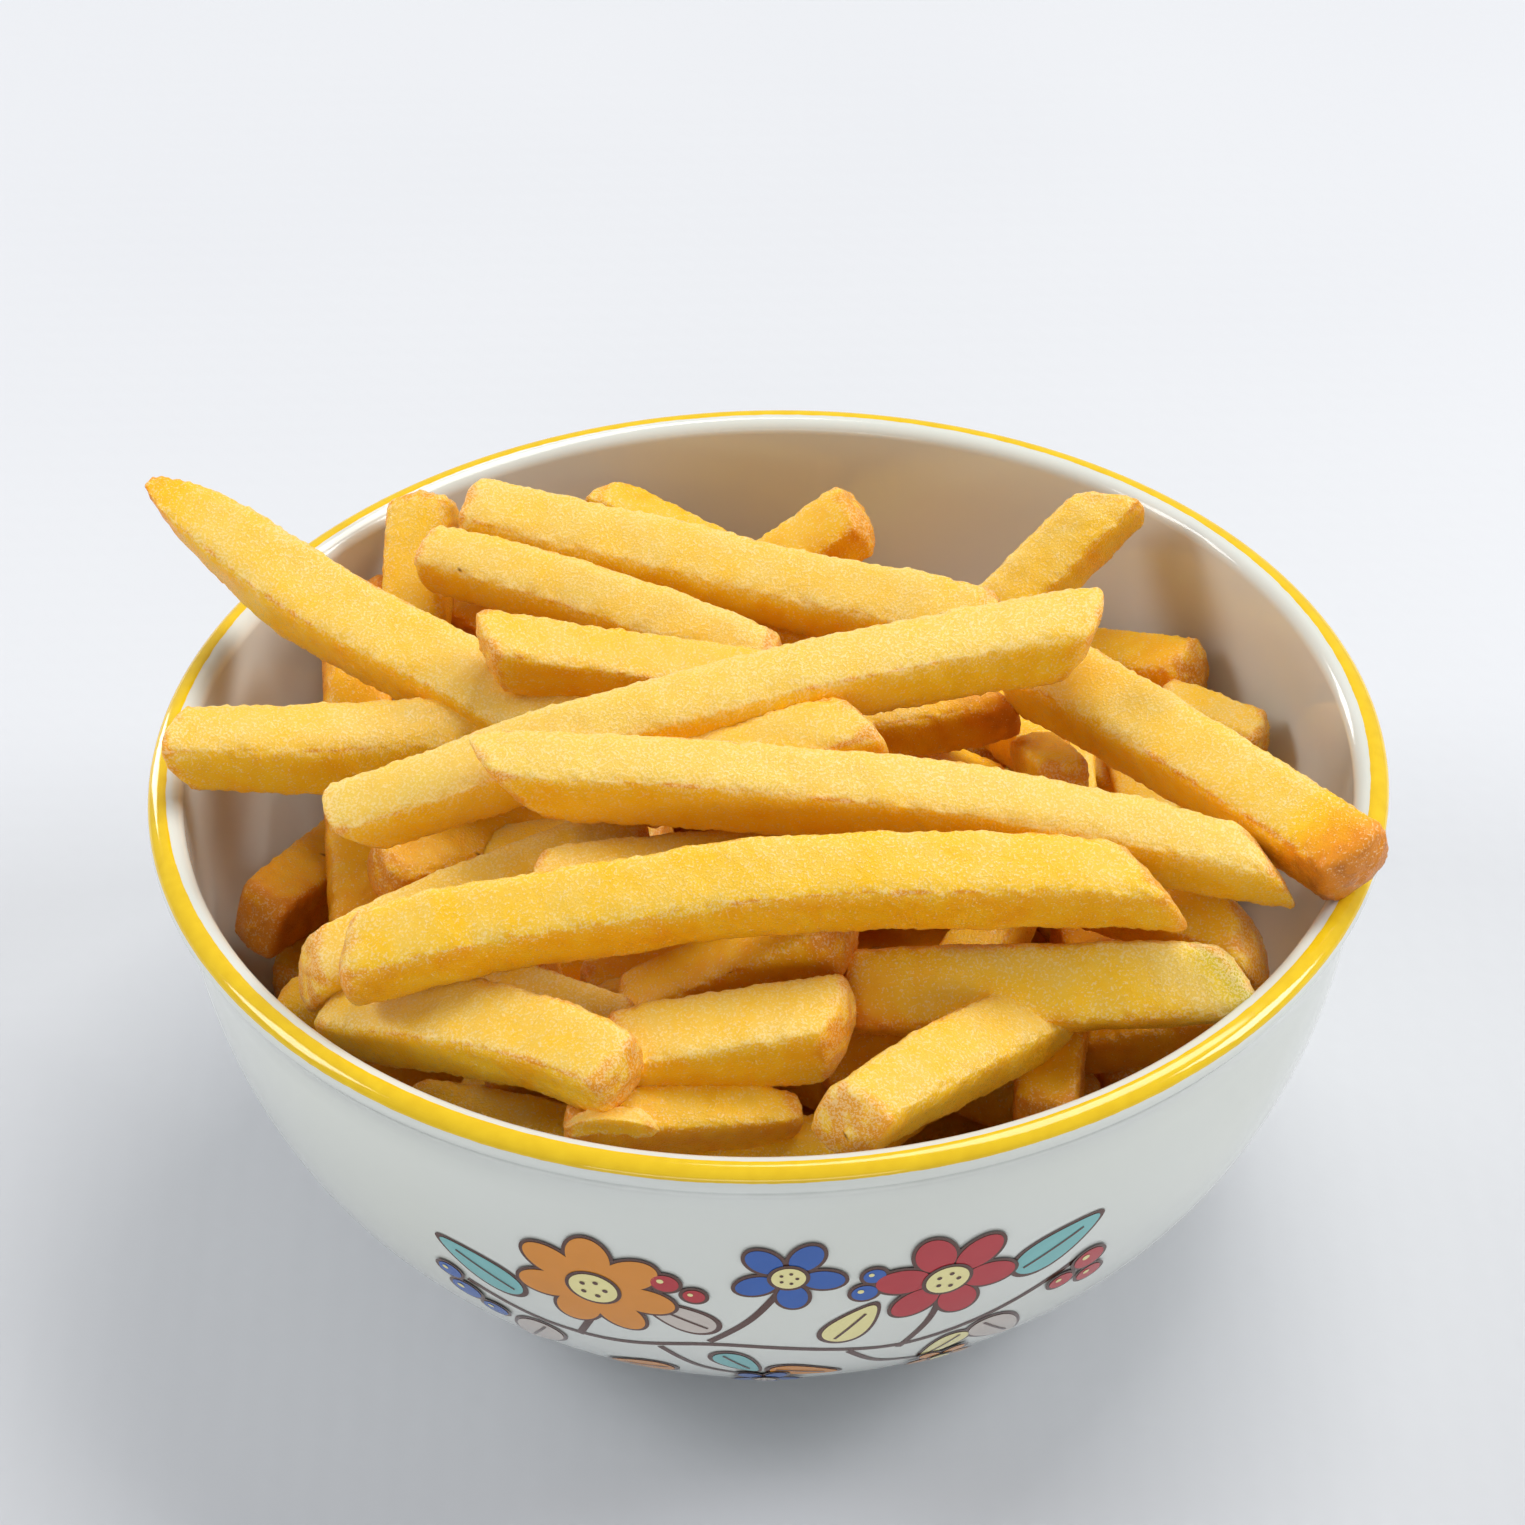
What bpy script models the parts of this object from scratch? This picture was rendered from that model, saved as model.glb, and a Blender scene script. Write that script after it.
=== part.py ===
# A portion of french fries, heaped in a small round porcelain bowl.
# Sizes are in millimetres and become metres when a mesh is made. +Z is up, and the origin
# is on the table, under the middle of the bowl.

import math

import bmesh
import bpy
from mathutils import Matrix, Vector

MM = 0.001
GAP = 0.3  # between the heap and the bowl that holds it

# The bowl's body and inside follow superellipses, set by a radius and a depth.
RIM_HEIGHT = 64.0
BODY_RADIUS = 69.9
BODY_DEPTH = 68.5  # of the whole curve, which the foot cuts short
INSIDE_RADIUS = 68.0
INSIDE_TOP = 60.0
INSIDE_FLOOR = 6.5
CURVE_DOWN = 2.40
CURVE_ACROSS = 2.32

# The lip is a rolled bead of elliptical section.
LIP_CENTRE = (70.4, 62.2)
LIP_HALF_WIDTH = 2.1
LIP_HALF_HEIGHT = 1.8
LIP_ANGLES = (180, 150, 120, 90, 60, 30, 0, -50)
NECK = (70.5, 58.6)

FOOT_RADIUS = 33.4
FOOT_INNER_RADIUS = 29.4
FOOT_HEIGHT = 2.6
FOOT_ROUNDING = 0.6
RECESS_HEIGHT = 3.0

WALL_POINTS = 8
TURN_STEPS = 56
HIDDEN_STEPS = 30  # the heap's own underside is seen by no one
CLEAR_RADIUS = 82.0  # how far out the space that the heap may not enter reaches

# The hidden middle of the heap is a mound, with a layer of fries lying on it every way.
MOUND_TOP = 50.5
MOUND_FALL = 14.0
MOUND_RADIUS = 64.0
MOUND_POINTS = 5
UNDER_COUNT = 14
UNDER_REACH = 50.0
UNDER_LIFT = 3.5
UNDER_TURN = 67.0
UNDER_LENGTH = 34.0
UNDER_WIDTH = 8.0
GOLDEN_ANGLE = 137.5

FRY_CUTS = 3
FRY_CHAMFER = 0.16  # of the width
TIP_POWER = 4
FRY_SWELL = 1.05  # where one fry rests on another they are joined

# Every fry that shows, from the bottom of the bowl up. Each has the x, y and z of its middle,
# then turn, rise and roll in degrees, its length, width and bow, and how much its first and
# its second end narrow, from 0 (square) to 1 (a point).
FRIES = {
    "left wall": (
        (-54, 4, 33, 73, 5, 0, 22, 8.0, 0, 0.1, 0.1),
        (-54, 6, 42, 60, -9, 10, 30, 8.2, 0, 0.1, 0.1),
        (-49, 3, 51, -87, -22, 0, 53, 8.4, 0, 0.1, 0.1),
        (-33, -2, 52, 34, -8, 10, 31, 8.0, 0, 0.1, 0.1),
    ),
    "back": (
        (-44, 41, 50, 9, -50, 0, 22, 7.4, 0, 0.1, 0.1),
        (-32, 37, 54, -29, -9, 10, 18, 7.4, 0, 0.1, 0.1),
        (-43, 37, 61, -94, -31, 0, 26, 8.0, 0, 0.1, 0.1),
        (-8, 55, 53, -14, -25, 15, 30, 8.2, 0, 0.2, 0.1),
        (3, 46, 57, 12, 30, 20, 24, 7.2, 0, 0.1, 0.2),
        (1, 33, 57, -20, -3, 10, 29, 7.6, 0, 0.1, 0.1),
        (33, 38, 59, 33, 28, 20, 31, 8.4, 0, 0.1, 0.2),
        (-20, 25, 66, -22, -6, 20, 46, 8.6, 1, 0.2, 0.1),
        (-4, 32, 67, -19, -3, 20, 68, 8.6, -1, 0.2, 0.1),
    ),
    "right wall": (
        (42, 39, 46, -32, 14, 5, 29, 8.0, 0, 0.0, 0.1),
        (55, 23, 49, -34, 0, 5, 15, 6.4, 0, 0.0, 0.1),
        (39, -21, 42, -79, -16, 0, 26, 8.6, 0, 0.1, 0.1),
        (43, -34, 49, -10, 17, 5, 19, 8.0, 0, 0.1, 0.1),
        (44, -25, 58, -36, 2, 20, 26, 8.6, 1, 0.1, 0.3),
        (48, -12, 70, -45, -3, 20, 52, 9.2, 1, 0.0, 0.0),
    ),
    "middle": (
        (-11, -24, 52, 20, 11, 10, 22, 8.0, 0, 0.1, 0.1),
        (19, 5, 56, -4, -22, 0, 22, 7.4, 0, 0.1, 0.1),
        (29, 13, 57, -57, 1, 0, 18, 7.0, 0, 0.1, 0.1),
        (33, -1, 61, -72, 20, 0, 12, 6.0, 0, 0.1, 0.3),
        (16, 2, 66, 14, 1, 10, 26, 8.0, 0, 0.1, 0.2),
    ),
    "front wall": (
        (31, -40, 51, -98, -14, 5, 19, 7.8, 0, 0.1, 0.2),
        (15, -38, 51, 27, 17, 10, 21, 8.0, 0, 0.1, 0.1),
        (-3, -54, 49, 3, 2, 10, 23, 7.8, 0, 0.1, 0.1),
        (-30, -45, 46, -19, 0, 10, 22, 7.6, 0, 0.2, 0.1),
        (-10, -55, 56, 8, -6, 20, 26, 6.8, 0, 0.4, 0.5),
        (19, -52, 60, 47, -12, 20, 36, 8.6, 1, 0.2, 0.1),
        (-4, -36, 61, -8, 32, 10, 29, 8.2, 0, 0.1, 0.1),
        (-25, -38, 57, -27, 0, 20, 19, 8.4, 0, 0.1, 0.2),
        (30, -40, 61, -3, 3, 40, 45, 8.8, 0, 0.1, 0.3),
        (-5, -49, 62, 5, 4, 10, 27, 8.8, 0, 0.0, 0.0),
        (-32, -48, 61, -32, 11, 20, 39, 8.8, 2, 0.2, 0.2),
    ),
    "top": (
        (-45, 1, 64, 12, -11, 15, 52, 8.8, 1, 0.3, 0.1),
        (-44, 13, 73, -33, -12, 15, 71, 9.2, -3, 0.8, 0.1),
        (-13, 8, 74, 14, -10, 15, 42, 8.6, 0, 0.2, 0.1),
        (-2, -9, 70, 11, 9, 15, 28, 8.4, 0, 0.1, 0.2),
        (-33, -28, 65, 22, 9, 20, 42, 8.4, 1, 0.3, 0.1),
        (-11, -28, 69, 14, -5, 20, 31, 7.6, 0, 0.1, 0.1),
        (-5, -12, 77, 12, 7, 15, 88, 8.6, 3, 0.2, 0.1),
        (13, -26, 74, -3, -8, 20, 88, 8.6, 3, 0.2, 0.6),
        (-2, -40, 71, 4, 2, 22, 90, 8.6, 5, 0.0, 0.6),
    ),
}

PORCELAIN = ((0.78, 0.79, 0.79), 0.15)
POTATO = ((0.86, 0.58, 0.14), 0.55)


def superellipse_point(radius, depth, angle):
    """Radius from the axis and depth under the rim, at an angle from 0 (rim) to 90 (axis)."""
    a = math.radians(angle)
    across = radius * math.cos(a) ** (2 / CURVE_ACROSS)
    down = depth * math.sin(a) ** (2 / CURVE_DOWN)
    return across, down


def inside_points(gap):
    """The bowl's inside, from the middle of its floor up, moved inwards by the gap."""
    depth = INSIDE_TOP - INSIDE_FLOOR - gap
    points = [(0.0, INSIDE_TOP - depth)]
    for i in range(1, WALL_POINTS + 1):
        across, down = superellipse_point(INSIDE_RADIUS - gap, depth, 90 - 90 * i / WALL_POINTS)
        points.append((across, INSIDE_TOP - down))
    return points


def lip_points(gap):
    points = []
    for angle in LIP_ANGLES:
        a = math.radians(angle)
        r = LIP_CENTRE[0] + (LIP_HALF_WIDTH + gap) * math.cos(a)
        z = LIP_CENTRE[1] + (LIP_HALF_HEIGHT + gap) * math.sin(a)
        points.append((r, z))
    return points


def body_points():
    """The outside of the body, from under the lip down to the foot."""
    foot_angle = math.degrees(math.asin(((RIM_HEIGHT - FOOT_HEIGHT) / BODY_DEPTH) ** (CURVE_DOWN / 2)))
    first_angle = foot_angle / WALL_POINTS
    points = [NECK]
    for i in range(WALL_POINTS):
        angle = first_angle + (foot_angle - first_angle) * i / (WALL_POINTS - 1)
        across, down = superellipse_point(BODY_RADIUS, BODY_DEPTH, angle)
        points.append((across, RIM_HEIGHT - down))
    return points


def foot_points():
    return [
        (FOOT_RADIUS, FOOT_HEIGHT - 0.2),
        (FOOT_RADIUS, FOOT_ROUNDING),
        (FOOT_RADIUS - FOOT_ROUNDING, 0.0),
        (FOOT_INNER_RADIUS + FOOT_ROUNDING, 0.0),
        (FOOT_INNER_RADIUS, FOOT_ROUNDING),
        (FOOT_INNER_RADIUS - 1.0, RECESS_HEIGHT),
        (0.0, RECESS_HEIGHT),
    ]


def new_object(name, mesh, collection):
    obj = bpy.data.objects.new(name, mesh)
    collection.objects.link(obj)
    return obj


def hide_cutter(obj):
    obj.hide_render = True
    obj.display_type = "WIRE"


def turned(name, profile, steps, collection):
    """A solid turned about Z from a profile of (radius, height) points."""
    mesh = bpy.data.meshes.new(name)
    verts = [(r * MM, 0.0, z * MM) for r, z in profile]
    edges = [(i, i + 1) for i in range(len(verts) - 1)]
    mesh.from_pydata(verts, edges, [])
    obj = new_object(name, mesh, collection)
    screw = obj.modifiers.new("turn", "SCREW")
    screw.axis = "Z"
    screw.steps = steps
    screw.render_steps = steps
    screw.use_merge_vertices = True
    screw.merge_threshold = 0.00001
    return obj


def add_boolean(obj, other, operation):
    cut = obj.modifiers.new(operation.lower(), "BOOLEAN")
    cut.object = other
    cut.operation = operation
    cut.solver = "EXACT"
    return cut


def add_fry(bm, x, y, z, turn, rise, roll, long, wide, bow, first, second):
    """One fry: a long box with chamfered corners, narrowed at its ends and bowed."""
    fry = bmesh.new()
    bmesh.ops.create_cube(fry, size=1.0)
    lengthways = [e for e in fry.edges if abs(e.verts[0].co.x - e.verts[1].co.x) > 0.5]
    bmesh.ops.bevel(fry, geom=lengthways, offset=FRY_CHAMFER, segments=1, affect="EDGES")
    lengthways = [e for e in fry.edges if abs(e.verts[0].co.x - e.verts[1].co.x) > 0.5]
    bmesh.ops.subdivide_edges(fry, edges=lengthways, cuts=FRY_CUTS, use_grid_fill=True)
    rolled = Matrix.Rotation(math.radians(roll), 3, "X")
    laid = Matrix.Rotation(math.radians(turn), 3, "Z") @ Matrix.Rotation(math.radians(-rise), 3, "Y")
    for v in fry.verts:
        u = 2 * v.co.x
        narrow = first if u < 0 else second
        k = wide * FRY_SWELL * (1 - 0.8 * narrow * abs(u) ** TIP_POWER)
        section = rolled @ Vector((0, v.co.y * k, v.co.z * k))
        along = Vector((u * long / 2, 0, bow * (1 - u * u)))
        v.co = (Vector((x, y, z)) + laid @ (along + section)) * MM
    part = bpy.data.meshes.new("fry")
    fry.to_mesh(part)
    fry.free()
    bm.from_mesh(part)
    bpy.data.meshes.remove(part)


def mound_height(r):
    return MOUND_TOP - MOUND_FALL * (r / MOUND_RADIUS) ** 2


def under_fries():
    """Rows like those of FRIES, for the layer that lies along the mound's slope."""
    rows = []
    for i in range(UNDER_COUNT):
        r = UNDER_REACH * math.sqrt((i + 0.5) / UNDER_COUNT)
        around = math.radians(i * GOLDEN_ANGLE)
        turn = (i * UNDER_TURN) % 180 - 90
        fall = -2 * MOUND_FALL * r / MOUND_RADIUS ** 2
        rise = math.degrees(math.atan(fall * math.cos(math.radians(turn) - around)))
        x = r * math.cos(around)
        y = r * math.sin(around)
        z = mound_height(r) + UNDER_LIFT
        rows.append((x, y, z, turn, rise, 0, UNDER_LENGTH, UNDER_WIDTH, 1, 0.1, 0.1))
    return rows


def evaluated_mesh(obj):
    depsgraph = bpy.context.evaluated_depsgraph_get()
    return bpy.data.meshes.new_from_object(obj.evaluated_get(depsgraph))


def pieces_of(bm):
    """The faces of each separate closed surface in a mesh."""
    left = set(bm.faces)
    pieces = []
    while left:
        start = left.pop()
        piece = [start]
        queue = [start]
        while queue:
            for edge in queue.pop().edges:
                for face in edge.link_faces:
                    if face in left:
                        left.remove(face)
                        piece.append(face)
                        queue.append(face)
        pieces.append(piece)
    return pieces


def signed_volume(faces):
    return sum(f.normal.dot(f.calc_center_median()) * f.calc_area() for f in faces) / 3


def fill_pockets(mesh):
    """Takes away the inner surfaces of the pockets that crossing fries close off."""
    bm = bmesh.new()
    bm.from_mesh(mesh)
    bmesh.ops.triangulate(bm, faces=bm.faces)
    bm.normal_update()
    for piece in pieces_of(bm):
        if signed_volume(piece) < 0:
            bmesh.ops.delete(bm, geom=piece, context="FACES")
    bm.to_mesh(mesh)
    bm.free()


def finish(obj, name, colour, roughness):
    material = bpy.data.materials.new(name)
    material.use_nodes = True
    shader = material.node_tree.nodes["Principled BSDF"]
    shader.inputs["Base Color"].default_value = (*colour, 1.0)
    shader.inputs["Roughness"].default_value = roughness
    shader.inputs["Metallic"].default_value = 0.0
    obj.data.materials.clear()
    obj.data.materials.append(material)


def make_bowl(parts):
    profile = inside_points(0.0) + lip_points(0.0) + body_points() + foot_points()
    bowl = turned("bowl", profile, TURN_STEPS, parts)
    bowl.data.shade_smooth()
    finish(bowl, "porcelain", *PORCELAIN)
    return bowl


def make_heap(parts, cutters):
    """One solid: the hidden mound and every fry that shows, cut back to clear the bowl."""
    profile = []
    for i in range(MOUND_POINTS + 1):
        r = MOUND_RADIUS * i / MOUND_POINTS
        profile.append((r, mound_height(r)))
    profile += [(MOUND_RADIUS, INSIDE_FLOOR), (0.0, INSIDE_FLOOR)]
    mound = turned("mound", profile, HIDDEN_STEPS, cutters)
    hide_cutter(mound)

    bm = bmesh.new()
    for row in sum(FRIES.values(), ()) + tuple(under_fries()):
        add_fry(bm, *row)
    bars_mesh = bpy.data.meshes.new("bars")
    bm.to_mesh(bars_mesh)
    bm.free()
    bars = new_object("bars", bars_mesh, cutters)
    hide_cutter(bars)

    join = add_boolean(mound, bars, "UNION")
    join.use_self = True
    heap_mesh = evaluated_mesh(mound)
    fill_pockets(heap_mesh)
    heap = new_object("fries", heap_mesh, parts)

    clear = inside_points(GAP) + lip_points(GAP)
    clear += [(CLEAR_RADIUS, LIP_CENTRE[1]), (CLEAR_RADIUS, -GAP), (0.0, -GAP)]
    bowl_space = turned("bowl_space", clear, HIDDEN_STEPS, cutters)
    hide_cutter(bowl_space)
    add_boolean(heap, bowl_space, "DIFFERENCE")
    finish(heap, "fried_potato", *POTATO)
    return heap


def main():
    for obj in list(bpy.data.objects):
        bpy.data.objects.remove(obj, do_unlink=True)
    parts = bpy.data.collections.new("french_fries_portion")
    cutters = bpy.data.collections.new("cutters")
    bpy.context.scene.collection.children.link(parts)
    bpy.context.scene.collection.children.link(cutters)
    make_bowl(parts)
    make_heap(parts, cutters)


main()
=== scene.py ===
import math

import bpy
import numpy as np
from mathutils import Euler, Matrix, Vector, noise


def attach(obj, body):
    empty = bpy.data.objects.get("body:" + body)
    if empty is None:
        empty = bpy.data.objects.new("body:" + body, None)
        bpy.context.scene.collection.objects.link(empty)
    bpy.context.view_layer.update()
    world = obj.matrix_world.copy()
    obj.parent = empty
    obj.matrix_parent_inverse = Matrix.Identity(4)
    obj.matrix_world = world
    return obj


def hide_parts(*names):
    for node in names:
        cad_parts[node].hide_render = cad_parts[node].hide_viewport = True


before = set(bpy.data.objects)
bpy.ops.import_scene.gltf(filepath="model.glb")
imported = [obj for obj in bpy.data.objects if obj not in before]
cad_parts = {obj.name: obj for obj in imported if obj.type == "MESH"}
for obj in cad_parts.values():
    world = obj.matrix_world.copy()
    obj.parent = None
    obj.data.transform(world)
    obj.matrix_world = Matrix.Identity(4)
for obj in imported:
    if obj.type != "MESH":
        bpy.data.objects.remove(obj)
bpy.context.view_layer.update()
mm = 0.001
scene = bpy.context.scene
scene.view_settings.view_transform = "Standard"


# colours are written as sRGB hex and turned to linear here
def hexToLinear(code):
    parts = [int(code[i:i + 2], 16) / 255 for i in (1, 3, 5)]
    linear = [c / 12.92 if c <= 0.04045 else ((c + 0.055) / 1.055) ** 2.4 for c in parts]
    return (*linear, 1.0)


# adds one node, sets it up and links it: a socket, or a node's output in use, is linked, and any
# other value is set
def addNode(tree, kind, inputs=None, **settings):
    node = tree.nodes.new(kind)
    for name, value in settings.items():
        setattr(node, name, value)
    for socket, value in (inputs or {}).items():
        if isinstance(value, bpy.types.Node):
            value = next(out for out in value.outputs if out.enabled)
        if isinstance(value, bpy.types.NodeSocket):
            tree.links.new(value, node.inputs[socket])
        else:
            node.inputs[socket].default_value = value
    return node


def newMaterial(name):
    material = bpy.data.materials.new(name)
    material.use_nodes = True
    tree = material.node_tree
    return material, tree, tree.nodes["Principled BSDF"]


# noise grain of a real size: Blender's scale is cells in a metre
def perMetre(sizeMm):
    return 1000.0 / sizeMm


def meshPiece(name, points, faces, material=None, layers=None):
    mesh = bpy.data.meshes.new(name)
    mesh.from_pydata((np.asarray(points) * mm).tolist(), [], faces)
    for layer, values in (layers or {}).items():
        mesh.attributes.new(layer, "FLOAT", "POINT").data.foreach_set("value", values)
    mesh.shade_smooth()
    mesh.update()
    piece = bpy.data.objects.new(name, mesh)
    scene.collection.objects.link(piece)
    if material:
        mesh.materials.append(material)
    return piece


# smooth random numbers at points, one bump for every size in mm
def grain(points, sizeMm, seed=0.0):
    shifted = np.asarray(points) / sizeMm + seed
    return np.array([noise.noise(p) for p in shifted.tolist()])


cameraSetup = {
    "place": (-0.6, -415.0, 388.6),  # mm
    "lookDown": 38.2,  # degrees
    "roll": -1.2,
    "lens": 106.2,
    "sensor": 36.0,
}


def makeCamera(setup):
    data = bpy.data.cameras.new("camera")
    data.lens = setup["lens"]
    data.sensor_width = setup["sensor"]
    camera = bpy.data.objects.new("camera", data)
    tilt = Euler((math.radians(90 - setup["lookDown"]), 0, 0)).to_matrix()
    roll = Matrix.Rotation(math.radians(setup["roll"]), 3, "Z")
    camera.matrix_world = (tilt @ roll).to_4x4()
    camera.location = [v * mm for v in setup["place"]]
    scene.collection.objects.link(camera)
    scene.camera = camera


lightSetup = {
    "skyColour": "#F4F6FA",
    "skyStrength": 0.36,
    # name: place and aim in mm, size in mm, power in W, colour
    "lamps": {
        "softboxBack": ((300, 380, 1100), (0, 20, 40), (650, 500), 7.1, "#FFFDF8"),
        "softboxLeft": ((-900, 60, 700), (0, 0, 40), (400, 400), 4.1, "#FFFFFF"),
        "softboxRight": ((900, 60, 700), (0, 0, 40), (400, 400), 5.4, "#FFFFFF"),
        "stripLow": ((-640, 760, 300), (0, 0, 60), (160, 420), 2.0, "#FFFFFF"),
        "cardFront": ((-100, -1100, 340), (0, 0, 60), (1000, 300), 2.8, "#FFFFFF"),
    },
}


def makeLights(setup):
    world = bpy.data.worlds.new("studio")
    world.use_nodes = True
    sky = world.node_tree.nodes["Background"]
    sky.inputs["Color"].default_value = hexToLinear(setup["skyColour"])
    sky.inputs["Strength"].default_value = setup["skyStrength"]
    scene.world = world
    for name, (place, aim, size, power, colour) in setup["lamps"].items():
        data = bpy.data.lights.new(name, "AREA")
        data.shape = "RECTANGLE"
        data.size, data.size_y = size[0] * mm, size[1] * mm
        data.energy = power
        data.color = hexToLinear(colour)[:3]
        lamp = bpy.data.objects.new(name, data)
        lamp.location = [v * mm for v in place]
        way = Vector(aim) - Vector(place)
        lamp.rotation_euler = way.to_track_quat("-Z", "Y").to_euler()
        scene.collection.objects.link(lamp)


floorSetup = {
    "side": 4000,  # mm
    "cloth": "#D6D8DC",
    "clothShade": "#D1D3D8",
    "threadSpacing": 0.7,  # mm, plain weave of fine cotton
}


# smooth cotton backdrop cloth, plain woven: matt, with a very fine grid
def clothMaterial(setup):
    material, tree, shader = newMaterial("wovenCotton")
    where = addNode(tree, "ShaderNodeTexCoord").outputs["Object"]
    blotch = addNode(tree, "ShaderNodeTexNoise", {"Vector": where, "Scale": perMetre(90), "Detail": 1.0})
    colour = addNode(tree, "ShaderNodeMix", {
        "Factor": blotch.outputs["Fac"],
        "A": hexToLinear(setup["cloth"]),
        "B": hexToLinear(setup["clothShade"]),
    }, data_type="RGBA")
    tree.links.new(colour.outputs["Result"], shader.inputs["Base Color"])
    spacing = setup["threadSpacing"]
    waves = []
    for axis in ("X", "Y"):
        wave = addNode(tree, "ShaderNodeTexWave", {
            "Vector": where, "Scale": perMetre(spacing) / 20, "Distortion": 0.6, "Detail": 1.0,
        }, bands_direction=axis)
        waves.append(wave.outputs["Fac"])
    weave = addNode(tree, "ShaderNodeMath", {0: waves[0], 1: waves[1]}, operation="MULTIPLY")
    bump = addNode(tree, "ShaderNodeBump", {
        "Height": weave.outputs[0], "Strength": 0.35, "Distance": 0.1 * mm,
    })
    tree.links.new(bump.outputs["Normal"], shader.inputs["Normal"])
    shader.inputs["Roughness"].default_value = 0.9
    shader.inputs["Specular IOR Level"].default_value = 0.2
    return material


def makeFloor(setup):
    half = setup["side"] / 2
    corners = [(-half, -half, 0), (half, -half, 0), (half, half, 0), (-half, half, 0)]
    floor = meshPiece("floor", corners, [(0, 1, 2, 3)], clothMaterial(setup))


makeCamera(cameraSetup)
makeLights(lightSetup)
makeFloor(floorSetup)
print("camera, lights and floor are up")


bowlShape = {
    # mm, with the same curves as the solid bowl
    "rimHeight": 64.0,
    "bodyRadius": 69.9,
    "bodyDepth": 68.5,
    "insideRadius": 68.0,
    "insideTop": 60.0,
    "insideFloor": 6.5,
    "curveDown": 2.40,
    "curveAcross": 2.32,
    "lipCentre": (70.4, 62.2),
    "lipHalfWidth": 2.1,
    "lipHalfHeight": 1.8,
    "lipFrom": 180,
    "lipTo": -50,
    "neck": (70.5, 58.6),
    "footRadius": 33.4,
    "footInner": 29.4,
    "footHeight": 2.6,
    "footRound": 0.6,
    "recess": 3.0,
    "steps": 180,
    "wallPoints": 40,
    "lipPoints": 34,
    "line": (96, 21),  # degrees round the lip's section, from inside to outside
    "lineRaise": 0.10,
}


def superellipse(shape, radius, depth, angle):
    a = math.radians(angle)
    across = radius * max(math.cos(a), 0.0) ** (2 / shape["curveAcross"])
    return across, depth * math.sin(a) ** (2 / shape["curveDown"])


# inside radius of the bowl at a height, used to keep the fries off its wall
def insideRadius(height, shape=bowlShape):
    depth = shape["insideTop"] - shape["insideFloor"]
    down = np.clip((shape["insideTop"] - height) / depth, 0.0, 1.0)
    return shape["insideRadius"] * (1 - down ** shape["curveDown"]) ** (1 / shape["curveAcross"])


# the whole section as (radius, height, how much of the yellow line is there)
def bowlProfile(shape):
    profile = []
    count = shape["wallPoints"]
    depth = shape["insideTop"] - shape["insideFloor"]
    for i in range(count):
        across, down = superellipse(shape, shape["insideRadius"], depth, 90 - 90 * i / count)
        profile.append((across, shape["insideTop"] - down, 0.0))
    inner, outer = shape["line"]
    span = shape["lipFrom"] - shape["lipTo"]
    for i in range(shape["lipPoints"] + 1):
        angle = shape["lipFrom"] - span * i / shape["lipPoints"]
        edge = min(inner - angle, angle - outer) / 6  # 0 at the line's edges, 1 within it
        onLine = min(max(edge, -1.0), 1.0)
        lift = shape["lineRaise"] * max(onLine, 0.0)
        a = math.radians(angle)
        r = shape["lipCentre"][0] + (shape["lipHalfWidth"] + lift) * math.cos(a)
        z = shape["lipCentre"][1] + (shape["lipHalfHeight"] + lift) * math.sin(a)
        profile.append((r, z, onLine * 0.5 + 0.5))
    profile.append((*shape["neck"], 0.0))
    footDown = (shape["rimHeight"] - shape["footHeight"]) / shape["bodyDepth"]
    footAngle = math.degrees(math.asin(footDown ** (shape["curveDown"] / 2)))
    for i in range(count):
        angle = footAngle * (i + 3) / (count + 2)
        across, down = superellipse(shape, shape["bodyRadius"], shape["bodyDepth"], angle)
        profile.append((across, shape["rimHeight"] - down, 0.0))
    ring, hollow, rounding = shape["footRadius"], shape["footInner"], shape["footRound"]
    for r, z in (
        (ring, shape["footHeight"] - 0.2), (ring, rounding), (ring - 0.3 * rounding, 0.3 * rounding),
        (ring - rounding, 0.0), (hollow + rounding, 0.0), (hollow + 0.3 * rounding, 0.3 * rounding),
        (hollow, rounding), (hollow - 1.0, shape["recess"]), (hollow / 2, shape["recess"]), (0.0, shape["recess"]),
    ):
        profile.append((r, z, 0.0))
    return profile


# turns a section about Z; a ring of zero radius becomes one point
def turnedMesh(profile, steps):
    points, faces, values, rings = [], [], [], []
    for r, z, value in profile:
        if r < 0.01:
            rings.append([len(points)] * steps)
            points.append((0.0, 0.0, z))
            values.append(value)
            continue
        rings.append(list(range(len(points), len(points) + steps)))
        for k in range(steps):
            a = 2 * math.pi * k / steps
            points.append((r * math.cos(a), r * math.sin(a), z))
            values.append(value)
    for near, far in zip(rings, rings[1:]):
        for k in range(steps):
            j = (k + 1) % steps
            face = [near[k], near[j], far[j], far[k]]
            corners = list(dict.fromkeys(face))
            if len(corners) > 2:
                faces.append(corners[::-1])
    return points, faces, values


bowlFinish = {
    "glaze": "#DBDFDC",
    "glazeWarm": "#D9DCD2",
    "enamel": "#F1CC24",
    "enamelDeep": "#DEB414",
}


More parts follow.
